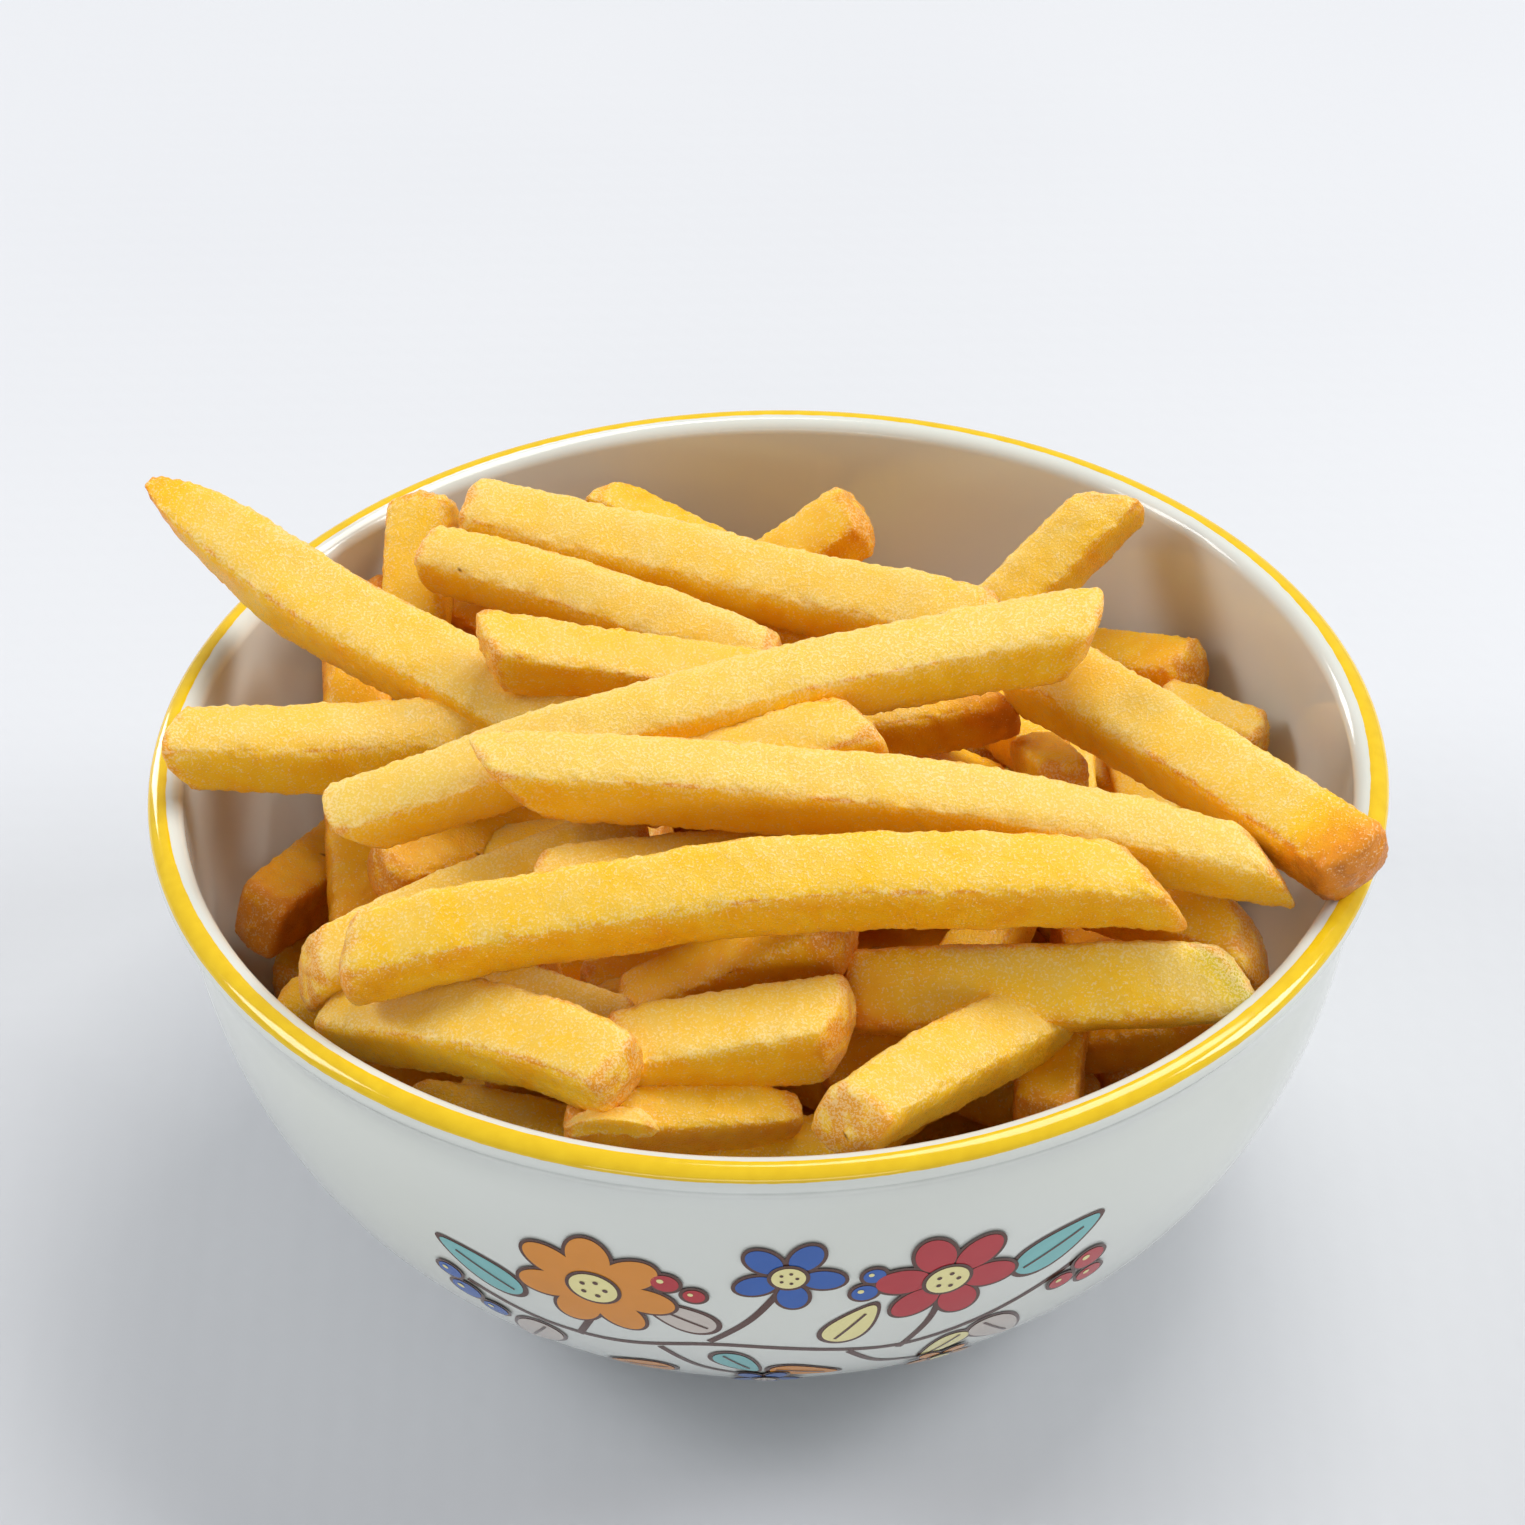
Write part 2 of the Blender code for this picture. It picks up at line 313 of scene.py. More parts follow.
# glazed porcelain, dipped and fired: white with a faint cool cast, a hard clear gloss and a slow
# ripple where the glaze ran; the line is brushed enamel, a little uneven in depth and at its edges
def porcelainMaterial(finish):
    material, tree, shader = newMaterial("glazedPorcelain")
    where = addNode(tree, "ShaderNodeTexCoord").outputs["Object"]
    slow = addNode(tree, "ShaderNodeTexNoise", {"Vector": where, "Scale": perMetre(30), "Detail": 1.0})
    glaze = addNode(tree, "ShaderNodeMix", {
        "Factor": slow.outputs["Fac"],
        "A": hexToLinear(finish["glaze"]),
        "B": hexToLinear(finish["glazeWarm"]),
    }, data_type="RGBA")
    brush = addNode(tree, "ShaderNodeTexNoise", {"Vector": where, "Scale": perMetre(2.2), "Detail": 2.0})
    enamel = addNode(tree, "ShaderNodeMix", {
        "Factor": brush.outputs["Fac"],
        "A": hexToLinear(finish["enamel"]),
        "B": hexToLinear(finish["enamelDeep"]),
    }, data_type="RGBA")
    line = addNode(tree, "ShaderNodeAttribute", attribute_name="line").outputs["Fac"]
    wobble = addNode(tree, "ShaderNodeMath", {0: brush.outputs["Fac"], 1: 0.5, 2: -0.25}, operation="MULTIPLY_ADD")
    ragged = addNode(tree, "ShaderNodeMath", {0: line, 1: wobble.outputs[0]}, operation="ADD")
    mask = addNode(tree, "ShaderNodeMapRange", {
        "Value": ragged.outputs[0], "From Min": 0.44, "From Max": 0.56,
    }, interpolation_type="SMOOTHSTEP")
    colour = addNode(tree, "ShaderNodeMix", {
        "Factor": mask.outputs["Result"], "A": glaze.outputs["Result"], "B": enamel.outputs["Result"],
    }, data_type="RGBA")
    tree.links.new(colour.outputs["Result"], shader.inputs["Base Color"])
    ripple = addNode(tree, "ShaderNodeTexNoise", {"Vector": where, "Scale": perMetre(9), "Detail": 1.0})
    bump = addNode(tree, "ShaderNodeBump", {
        "Height": ripple.outputs["Fac"], "Strength": 0.25, "Distance": 0.15 * mm,
    })
    tree.links.new(bump.outputs["Normal"], shader.inputs["Normal"])
    shader.inputs["Roughness"].default_value = 0.09
    shader.inputs["IOR"].default_value = 1.52
    return material


def makeBowl(shape, finish):
    points, faces, line = turnedMesh(bowlProfile(shape), shape["steps"])
    bowl = meshPiece("porcelainBowl", points, faces, porcelainMaterial(finish), {"line": line})
    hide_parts("bowl")
    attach(bowl, "root")


makeBowl(bowlShape, bowlFinish)
print("bowl is made")


# A garland of flowers, leaves and berries on the front of the bowl. Places are mm round the wall from
# its front and mm down the wall from its neck; sizes are mm and turns are degrees.
printDesign = {
    "outline": 0.45,  # width of the brown line round each field of colour
    "lift": 0.05,  # of each layer of enamel over the one under it
    "rings": 7,
    "stems": (
        # points along each stem
        ((-37, 21), (-29, 26), (-19, 27), (-8, 23), (3, 25), (14, 28), (25, 24), (35, 17)),
        ((-8, 23), (-3, 17), (1, 9)),
        ((14, 28), (17, 21), (18, 13)),
        ((-24, 27), (-21, 20), (-19, 15)),
        ((-14, 26), (-10, 33), (-3, 37)),
        ((8, 27), (12, 33), (20, 36)),
    ),
    "stemWidth": 0.9,
    "leaves": (
        # place, length, width, turn, colour
        (-34, 16, 11, 5.2, 215, "teal"),
        (-31, 32, 11, 5.4, 120, "warmGrey"),
        (-11, 17, 9, 4.4, 215, "warmGrey"),
        (-5, 30, 8, 4.0, 60, "teal"),
        (8, 19, 9, 4.4, 300, "cream"),
        (27, 30, 11, 5.2, 55, "warmGrey"),
        (31, 12, 11, 5.4, 330, "teal"),
        (3, 34, 9, 4.2, 20, "orange"),
        (-18, 36, 9, 4.4, 165, "orange"),
        (20, 31, 8, 4.0, 120, "cream"),
    ),
    "flowers": (
        # place, size, petals, petal colour, centre colour
        (-20, 13, 9.0, 7, "orange", "cream"),
        (18, 12, 8.0, 6, "red", "cream"),
        (1, 8, 6.0, 5, "blue", "cream"),
        (-2, 38, 4.6, 5, "blue", "warmGrey"),
        (21, 37, 4.4, 5, "orange", "cream"),
    ),
    "berries": (
        (-38, 24, 1.9, "blue"), (-35, 27, 1.6, "blue"), (-39, 20, 1.5, "blue"),
        (36, 18, 1.9, "red"), (37, 22, 1.6, "red"), (33, 21, 1.5, "red"),
        (-12, 10, 1.5, "red"), (-9, 12, 1.2, "red"), (9, 12, 1.4, "blue"), (10, 9, 1.2, "blue"),
    ),
    "colours": {
        "brown": "#5A3A30",
        "orange": "#E0902E",
        "cream": "#F0E6A2",
        "warmGrey": "#CFC4BA",
        "teal": "#7FBFBE",
        "blue": "#2E5FB0",
        "red": "#B93038",
    },
}


# the outside wall by the distance down it from the neck: radius, height and the way its face looks
def wallTable(shape):
    angles = np.linspace(6, 88, 300)
    section = np.array([superellipse(shape, shape["bodyRadius"], shape["bodyDepth"], a) for a in angles])
    section[:, 1] = shape["rimHeight"] - section[:, 1]
    run = np.concatenate([[0], np.cumsum(np.linalg.norm(np.diff(section, axis=0), axis=1))])
    along = np.gradient(section, axis=0)
    along /= np.linalg.norm(along, axis=1)[:, None]
    return run, section, np.stack([-along[:, 1], along[:, 0]], 1)


def onWall(table, chart, lift):
    run, section, facing = table
    chart = np.asarray(chart, float)
    r, z, fr, fz = (
        np.interp(chart[:, 1], run, values) for values in (section[:, 0], section[:, 1], facing[:, 0], facing[:, 1])
    )
    a = chart[:, 0] / 66.0 - math.pi / 2
    r, z = r + lift * fr, z + lift * fz
    return np.stack([r * np.cos(a), r * np.sin(a), z], 1)


# a filled outline round a centre, laid as rings so that it bends with the wall
def ringShape(outline, centre, rings):
    outline = np.asarray(outline, float)
    count = len(outline)
    points = [np.asarray([centre], float)] + [centre + (outline - centre) * (i + 1) / rings for i in range(rings)]
    faces = [(0, 1 + k, 1 + (k + 1) % count) for k in range(count)]
    for i in range(rings - 1):
        for k in range(count):
            a, b = 1 + i * count + k, 1 + i * count + (k + 1) % count
            faces.append((a, a + count, b + count, b))
    return np.concatenate(points), faces


def leafOutline(length, width, grow):
    t = np.linspace(0, 2 * np.pi, 48, endpoint=False)
    x = (length / 2 + 1.5 * grow) * np.cos(t)
    return np.stack([x, (width / 2 + grow) * np.sin(t) * (1 - 0.35 * np.cos(t)) ** 1.2], 1)


def petalOutline(size, grow):
    t = np.linspace(0, 2 * np.pi, 40, endpoint=False)
    return np.stack([size * 0.62 + (size * 0.38 + grow) * np.cos(t), (size * 0.27 + grow) * np.sin(t)], 1)


def discOutline(radius):
    t = np.linspace(0, 2 * np.pi, 36, endpoint=False)
    return np.stack([radius * np.cos(t), radius * np.sin(t)], 1)


def turnedBy(points, degrees):
    a = math.radians(degrees)
    return points @ np.array([[math.cos(a), math.sin(a)], [-math.sin(a), math.cos(a)]])


def stemStrip(points, width):
    points = np.asarray(points, float)
    knots = np.linspace(0, 1, len(points))
    fine = np.linspace(0, 1, 12 * len(points))
    smooth = np.stack([np.interp(fine, knots, points[:, i]) for i in (0, 1)], 1)
    for _ in range(40):
        smooth[1:-1] = (smooth[:-2] + 2 * smooth[1:-1] + smooth[2:]) / 4
    way = np.gradient(smooth, axis=0)
    way /= np.linalg.norm(way, axis=1)[:, None]
    beside = np.stack([-way[:, 1], way[:, 0]], 1) * width / 2
    strip = np.concatenate([smooth - beside, smooth + beside])
    n = len(smooth)
    return strip, [(i, i + 1, n + i + 1, n + i) for i in range(n - 1)]


# overglaze enamel, printed and fired: flat fields of colour with a softer gloss than the glaze
def enamelMaterial(name, code):
    material, tree, shader = newMaterial(name + "Enamel")
    where = addNode(tree, "ShaderNodeTexCoord").outputs["Object"]
    wash = addNode(tree, "ShaderNodeTexNoise", {"Vector": where, "Scale": perMetre(3), "Detail": 4.0})
    deep = [c * 0.86 for c in hexToLinear(code)[:3]] + [1.0]
    colour = addNode(tree, "ShaderNodeMix", {
        "Factor": wash.outputs["Fac"], "A": hexToLinear(code), "B": deep,
    }, data_type="RGBA")
    tree.links.new(colour.outputs["Result"], shader.inputs["Base Color"])
    shader.inputs["Roughness"].default_value = 0.16
    shader.inputs["IOR"].default_value = 1.52
    return material


def makePrint(design, shape):
    table = wallTable(shape)
    names = list(design["colours"])
    points, faces, slots, offset = [], [], [], 0
    rings, line, lift = design["rings"], design["outline"], design["lift"]

    def add(chart, chartFaces, colour, layer):
        nonlocal offset
        points.append(onWall(table, chart, lift * layer))
        faces.extend(tuple(offset + i for i in face) for face in chartFaces)
        slots.extend([names.index(colour)] * len(chartFaces))
        offset += len(chart)

    def field(outline, place, turn, colour, layer):
        chart, chartFaces = ringShape(turnedBy(outline, turn) + place, turnedBy(outline, turn).mean(0) + place, rings)
        add(chart, chartFaces, colour, layer)

    for stem in design["stems"]:
        add(*stemStrip(stem, design["stemWidth"]), "brown", 1)
    for x, y, length, width, turn, colour in design["leaves"]:
        field(leafOutline(length, width, line), (x, y), turn, "brown", 2)
        field(leafOutline(length, width, 0.0), (x, y), turn, colour, 3)
        rib = turnedBy(np.array([(-0.42 * length, 0.0), (0.0, 0.0), (0.3 * length, 0.0)]), turn) + (x, y)
        add(*stemStrip(rib, 0.35), "brown", 4)
    for x, y, size, petals, colour, middle in design["flowers"]:
        for grow, tint, layer in ((line, "brown", 5), (0.0, colour, 6)):
            for i in range(petals):
                field(petalOutline(size, grow), (x, y), 360 * i / petals + 12, tint, layer + 0.15 * (i % 2))
        field(discOutline(0.3 * size + line), (x, y), 0, "brown", 7.5)
        field(discOutline(0.3 * size), (x, y), 0, middle, 8.5)
        for i in range(5):
            spot = turnedBy(np.array([[0.15 * size, 0.0]]), 72 * i)[0] + (x, y)
            field(discOutline(0.035 * size), spot, 0, "brown", 9.5)
    for x, y, radius, colour in design["berries"]:
        field(discOutline(radius + line), (x, y), 0, "brown", 5)
        field(discOutline(radius), (x, y), 0, colour, 6)
        field(discOutline(radius * 0.25), (x - radius * 0.3, y - radius * 0.3), 0, "cream", 7)
    printed = meshPiece("enamelPrint", np.concatenate(points), faces)
    for name, code in design["colours"].items():
        printed.data.materials.append(enamelMaterial(name, code))
    printed.data.polygons.foreach_set("material_index", slots)
    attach(printed, "root")


makePrint(printDesign, bowlShape)
print("print is on the bowl")


# Every fry that shows, as x, y, z of its middle in mm; turn, rise and roll in degrees; length, width
# and bow in mm; then for each end how much it narrows and how far its cut leans sideways and up;
# and last its tone, from 0 for green over 0.3 for pale straw to 1 for the deepest brown; where that
# changes towards the ends, it is the middle's and each end's.
fryRows = {
    "leftFries": (
        (-54, 4, 33, 73, 5, 0, 22, 8.0, 0, (0.1, 0, 0), (0.1, 0, 0), 0.7),
        (-54, 6, 42, 60, -9, 10, 30, 8.2, 0, (0.1, 0.2, 0.1), (0.1, 0, 0), (0.68, 0.85, 0.68)),
        (-49, 3, 51, -87, -22, 0, 53, 8.4, 0, (0.0, 0, 0), (0.2, 0.5, 0.3), 0.72),
        (-33, -2, 52, 34, -8, 10, 31, 8.0, 0, (0.1, 0, 0), (0.1, 0, 0), 0.7),
    ),
    "backFries": (
        (-44, 41, 50, 9, -50, 0, 22, 7.4, 0, (0.1, 0.2, 0), (0.1, 0, 0), (0.8, 1.0, 1.1)),
        (-32, 37, 54, -29, -9, 10, 18, 7.4, 0, (0.1, 0, 0), (0.1, 0, 0), 0.75),
        (-43, 37, 61, -94, -31, 0, 26, 8.0, 0, (0.0, 0, 0.1), (0.1, 0, 0), 0.5),
        (-8, 55, 53, -14, -25, 15, 30, 8.2, 0, (0.1, 0.5, -0.3), (0.1, 0, 0), 0.55),
        (3, 46, 57, 12, 30, 20, 24, 7.2, 0, (0.1, 0, 0), (0.0, 0.1, 0), 0.55),
        (1, 33, 57, -20, -3, 10, 29, 7.6, 0, (0.1, 0, 0), (0.1, 0, 0), 0.6),
        (33, 38, 59, 33, 28, 20, 31, 8.4, 0, (0.1, 0, 0), (0.1, -0.7, 0.1), 0.4),
        (-20, 25, 66, -22, -6, 20, 46, 8.6, 1, (0.1, 0.1, -0.3), (0.1, 0, 0), 0.3),
        (-4, 32, 67, -19, -3, 20, 68, 8.6, -1, (0.1, 0.1, -0.3), (0.1, 0, 0), 0.32),
    ),
    "rightFries": (
        (42, 39, 46, -32, 14, 5, 29, 8.0, 0, (0.0, 0, 0), (0.0, 0.1, 0), 0.6),
        (55, 23, 49, -34, 0, 5, 15, 6.4, 0, (0.0, 0, 0), (0.0, -0.2, 0), 0.45),
        (39, -21, 42, -79, -16, 0, 26, 8.6, 0, (0.1, 0, 0), (0.1, 0, 0), 0.8),
        (43, -34, 49, -10, 17, 5, 19, 8.0, 0, (0.1, 0, 0), (0.1, 0, 0), 0.7),
        (44, -25, 58, -36, 2, 20, 26, 8.6, 1, (0.1, 0, 0), (0.2, -0.6, -0.4), 0.55),
        (48, -12, 70, -45, -3, 20, 52, 9.2, 1, (0.0, 0, 0), (0.0, 0.2, 0.1), (0.36, 0.45, 0.95)),
    ),
    "middleFries": (
        (-11, -24, 52, 20, 11, 10, 22, 8.0, 0, (0.1, 0, 0), (0.1, 0, 0), 0.7),
        (19, 5, 56, -4, -22, 0, 22, 7.4, 0, (0.1, 0, 0), (0.1, -0.5, 0), 0.65),
        (29, 13, 57, -57, 1, 0, 18, 7.0, 0, (0.1, 0, 0), (0.1, 0, 0), 0.6),
        (33, -1, 61, -72, 20, 0, 12, 6.0, 0, (0.1, 0, 0), (0.2, 0.3, 0), 0.6),
        (14.5, 2, 66.5, 14, 1, 10, 26, 8.0, 0, (0.1, 0, 0), (0.1, -0.8, -0.2), (0.5, 0.5, 0.85)),
    ),
    "frontFries": (
        (31, -40, 51, -98, -14, 5, 19, 7.8, 0, (0.1, 0, 0), (0.1, 0.3, 0), 0.75),
        (15, -38, 51, 27, 17, 10, 21, 8.0, 0, (0.1, 0, 0), (0.1, 0, 0), 0.7),
        (-3, -54, 49, 3, 2, 10, 23, 7.8, 0, (0.1, 0, 0), (0.1, 0, 0), 0.55),
        (-30, -45, 46, -19, 0, 10, 22, 7.6, 0, (0.1, 0.4, -0.4), (0.1, 0, 0), 0.5),
        (-10, -55, 56, 8, -6, 20, 26, 6.8, 0, (0.4, 0, 0), (0.5, 0, 0), 0.6),
        (-17.5, -60.0, 59.6, -4, 2, 0, 10, 2.6, 1.2, (0.5, 0, 0), (0.8, 0, 0), 0.28),
        (19, -52, 60, 47, -12, 20, 36, 8.6, 1, (0.1, -0.2, 0.2), (0.1, 0, 0), 0.4),
        (-4, -36, 61, -8, 32, 10, 29, 8.2, 0, (0.1, 0, 0), (0.0, 0.2, 0.1), 0.62),
        (-25, -38, 57, -27, 0, 20, 19, 8.4, 0, (0.1, 0, 0), (0.1, 0.2, 0.1), 0.42),
        (30, -40, 61, -3, 3, 40, 45, 8.8, 0, (0.1, 0, 0), (0.1, -0.6, 0), (0.5, 0.65, 0.02)),
        (-5, -49, 62, 5, 4, 10, 27, 8.8, 0, (0.0, 0, 0), (0.0, 0.45, 0), 0.38),
        (-32, -48, 61, -32, 11, 20, 39, 8.8, 2, (0.1, 0.2, -0.2), (0.1, 0.1, 0.2), 0.38),
    ),
    "topFries": (
        (-44, 1, 64, 12, -11, 15, 50, 8.8, 1, (0.1, 0.5, -0.75), (0.1, 0, 0), 0.36),
        (-44, 13, 73, -33, -12, 15, 72, 9.2, -3, (1.0, 0.1, -0.8), (0.1, 0, 0), (0.34, 0.75, 0.34)),
        (-13, 6.4, 70.5, 6, -17, 15, 42, 8.6, 0, (0.1, -0.3, -0.4), (0.1, 0, 0), 0.42),
        (-2, -18, 76.3, 5, 15, 15, 28, 8.0, 0, (0.1, 0, 0), (0.1, -0.6, 0), 0.36),
        (-33, -28, 65, 22, 9, 20, 42, 8.4, 1, (0.1, 0.3, 0.4), (0.1, 0, 0), 0.34),
        (-11, -28, 69, 14, -5, 20, 31, 7.6, 0, (0.1, 0.3, -0.3), (0.1, 0, 0), 0.36),
        (-5, -12, 77, 12, 7, 15, 88, 8.6, 3, (0.1, 0, -0.8), (0.0, 0.5, 0.45), (0.25, 0.25, 0.34)),
        (13, -26, 74, -3, -8, 20, 88, 8.6, 3, (0.1, -0.6, -0.8), (0.3, -0.8, -0.6), 0.26),
        # the next fry's tone is set a little deeper than its own colour, as painted shade for the shadow on its top
        (-2, -40, 71, 4, 2, 22, 90, 8.6, 5, (0.0, 0.15, 0), (0.2, -0.7, -0.4), 0.46),
    ),
}

fryShape = {
    "ringStep": 0.45,  # mm between rings along a fry that shows
    "roundCount": 48,  # points round it, closer at its corners
    "hiddenStep": 1.4,
    "hiddenCount": 20,
    "corner": (2.9, 4.4),  # power of the section's curve: higher is squarer
    "hollow": (-0.05, 0.35),  # mm that a cut face has sunk while frying
    "skew": 0.35,  # mm that each corner strays
    "twist": 10.0,  # degrees from end to end
    "wander": 0.6,  # mm that the middle line strays
    "endRound": 0.9,  # mm
    "endBulge": 0.05,
    "tipPower": 4,
    "toneReach": 7.0,  # mm
    "mottle": 4.5,  # mm, patches of paler and deeper gold
    "freckle": 1.5,  # mm
    "stretch": 11.0,  # mm, how far an edge stays toasted or pale
    "specks": 0.00012,  # share of the points that are dark
}


# one quarter turn after another, the unit section's points and how near each is to a corner
def unitSection(count, power):
    perSide = count // 4
    y, z, edge = [], [], []
    for side in range(4):
        a = side * math.pi / 2
        for k in range(perSide):
            t = math.sin((2 * k / perSide - 1) * math.pi / 2)
            r = (1 + abs(t) ** power) ** (-1 / power)
            y.append(r * math.cos(a) - r * t * math.sin(a))
            z.append(r * math.sin(a) + r * t * math.cos(a))
            edge.append(abs(t) ** 3)
    return np.array(y), np.array(z), np.array(edge)


# places along a fry and how wide its section is there: end faces, rounded ends, then the run
def fryStations(long, step, endRound, half):
    start = [(0.0, s) for s in (0.0, 0.2, 0.4, 0.58)]
    for angle in (0, 18, 38, 60, 80):
        a = math.radians(angle)
        start.append((endRound * (1 - math.cos(a)), 1 - endRound / half * (1 - math.sin(a))))
    run = np.linspace(endRound, long - endRound, max(int((long - 2 * endRound) / step), 4))
    stations = start + [(x, 1.0) for x in run] + [(long - x, s) for x, s in start[::-1]]
    return np.array([s[0] for s in stations]), np.array([s[1] for s in stations])


# one fry's points in mm, with what its crust needs: nearness to an edge and to an end, and tone
def fryPoints(row, index, step, count, shape):
    x0, y0, z0, turn, rise, roll, long, wide, bow, first, last, tone = row
    rng = np.random.default_rng(100 + index)
    seed = 7.3 * index
    half = wide / 2
    sy, sz, edge = unitSection(count, rng.uniform(*shape["corner"]))
    hollow = rng.uniform(*shape["hollow"], 4)
    place, scale = fryStations(long, step, shape["endRound"], half)
    u = 2 * place / long - 1
    rings = len(place)
    # the section: sunken faces and stray corners, thicker or thinner along the way
    thick = rng.uniform(0.93, 1.04)
    side = np.repeat(np.arange(4), count // 4)
    sink = 1 - hollow[side] / half * (1 - edge) ** 2
    skew = rng.normal(0, shape["skew"], (2, 2, 2))
    right, up = (1 + sy) / 2, (1 + sz) / 2
    stray = [
        sum(skew[axis, i, j] * (right if i else 1 - right) * (up if j else 1 - up) for i in (0, 1) for j in (0, 1))
        for axis in (0, 1)
    ]
    narrow = 1 - 0.8 * np.where(u < 0, first[0], last[0]) * np.abs(u) ** shape["tipPower"]
    path = np.stack([place, place * 0 + seed, place * 0], 1)
    swell = 1 + 0.05 * grain(path, 13.0) + rng.uniform(-0.03, 0.03) * u
    k = (narrow * swell * scale)[:, None]
    y = k * (sy * sink * half + stray[0])
    z = k * (sz * sink * half * thick + stray[1])
    # each end is cut at its own slant, over the rounded outside of a potato
    bulge = shape["endBulge"] * (y * y + z * z)
    start = first[1] * y + first[2] * z + bulge
    stop = last[1] * y + last[2] * z - bulge
    x = start + (place[:, None] / long) * (long + stop - start) - long / 2
    spin = np.radians(shape["twist"] * rng.uniform(-0.5, 0.5) * u)[:, None]
    y, z = y * np.cos(spin) - z * np.sin(spin), y * np.sin(spin) + z * np.cos(spin)
    flat = np.stack([x, y, z], -1).reshape(-1, 3)
    rim = np.repeat(np.clip(scale, 0, 1), count)
    edges = np.tile(edge, rings) * rim
    ending = np.repeat(np.clip((0.97 - scale) * 4, 0, 1) * np.sign(u), count)
    nearEnd = np.repeat(np.exp(-np.minimum(place, long - place) / 2.0), count)
    # relief: shallow dents, a grainy crust, and ragged crisp corners
    out = flat * (0, 1, 1)
    out /= np.maximum(np.linalg.norm(out, axis=1)[:, None], 0.2)
    out[:, 0] = 1.5 * ending
    out /= np.maximum(np.linalg.norm(out, axis=1)[:, None], 1e-6)
    ragged = np.clip(edges * rim + nearEnd, 0, 1)
    relief = 0.24 * grain(flat, 4.0, seed) + 0.12 * grain(flat, 1.5, seed + 3)
    relief += grain(flat, 0.75, seed + 9) * (0.06 + 0.24 * ragged)
    relief += 0.3 * np.abs(ending) * grain(flat, 2.2, seed + 5)
    flat = flat + out * relief[:, None]
    # roll, then the bow and wander of the middle line
    lean = np.radians(roll)
    y, z = flat[:, 1].copy(), flat[:, 2].copy()
    uu = np.clip(2 * flat[:, 0] / long, -1.2, 1.2)
    along = np.stack([flat[:, 0], uu * 0 + seed, uu * 0], 1)
    flat[:, 1] = y * np.cos(lean) - z * np.sin(lean) + shape["wander"] * grain(along, 22.0)
    flat[:, 2] = y * np.sin(lean) + z * np.cos(lean) + shape["wander"] * grain(along, 22.0, 4.0)
    flat[:, 2] += bow * (1 - uu * uu)
    laid = Matrix.Rotation(math.radians(turn), 3, "Z") @ Matrix.Rotation(math.radians(-rise), 3, "Y")
    points = flat @ np.array(laid).T + (x0, y0, z0)
    # the tone may change towards each end
    middle, atFirst, atLast = tone if isinstance(tone, tuple) else (tone, tone, tone)
    reach = shape["toneReach"]
    toFirst, toLast = np.exp(-((place / reach) ** 2)), np.exp(-(((long - place) / reach) ** 2))
    tones = np.repeat(middle + (atFirst - middle) * toFirst + (atLast - middle) * toLast, count)
    # patches of deeper gold, toast on some stretches of the edges and over the cut ends, dark specks
    patch, freckle = grain(points, shape["mottle"], seed), grain(points, shape["freckle"], seed)
    stretch = grain(points, shape["stretch"], seed + 2)
    level = np.maximum(tones + 0.15 * patch + 0.12 * freckle, np.minimum(tones, 0.22))
    toast = edges ** 2 * (0.3 + 1.1 * stretch + 0.8 * freckle) + nearEnd * (0.75 + 0.9 * freckle) + 0.25 * tones
    specks = rng.random(len(points)) < shape["specks"]
    return points, rings, np.maximum(edges, nearEnd), level, toast, specks.astype(float)


def gridFaces(rings, count, offset):
    i, k = np.meshgrid(np.arange(rings - 1), np.arange(count), indexing="ij")
    a = offset + i * count + k
    b = offset + i * count + (k + 1) % count
    return np.stack([a, b, b + count, a + count], -1).reshape(-1, 4)


def makeFries(name, rows, material, firstIndex, step, count):
    parts, faces, offset = [], [], 0
    for i, row in enumerate(rows):
        points, rings, *layers = fryPoints(row, firstIndex + i, step, count, fryShape)
        faces.append(gridFaces(rings, count, offset))
        parts.append((points, *layers))
        offset += len(points)
    points, crisp, level, toast, specks = (np.concatenate(p) for p in zip(*parts))
    layers = {"crisp": crisp, "level": level, "toast": toast, "speck": specks}
    piece = meshPiece(name, points, np.concatenate(faces).tolist(), material, layers)
    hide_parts("fries")
    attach(piece, "root")
    print(name, len(rows), "fries,", 2 * sum(len(f) for f in faces), "triangles")


fryFinish = {
    # from pale to dark, with where each stands on the crust's own scale
    "tones": (
        (0.0, "#B9A61C"), (0.1, "#EBC534"), (0.2, "#ECC458"), (0.44, "#F4BE1E"),
        (0.62, "#F2AA0A"), (0.8, "#E68E0C"), (1.0, "#A35A1A"),
    ),
    "toast": "#DF8A1E",
    "frost": "#F8E6B8",
    "speck": "#6B3A12",
    "crust": 0.3,  # mm, the grain of fried starch
}
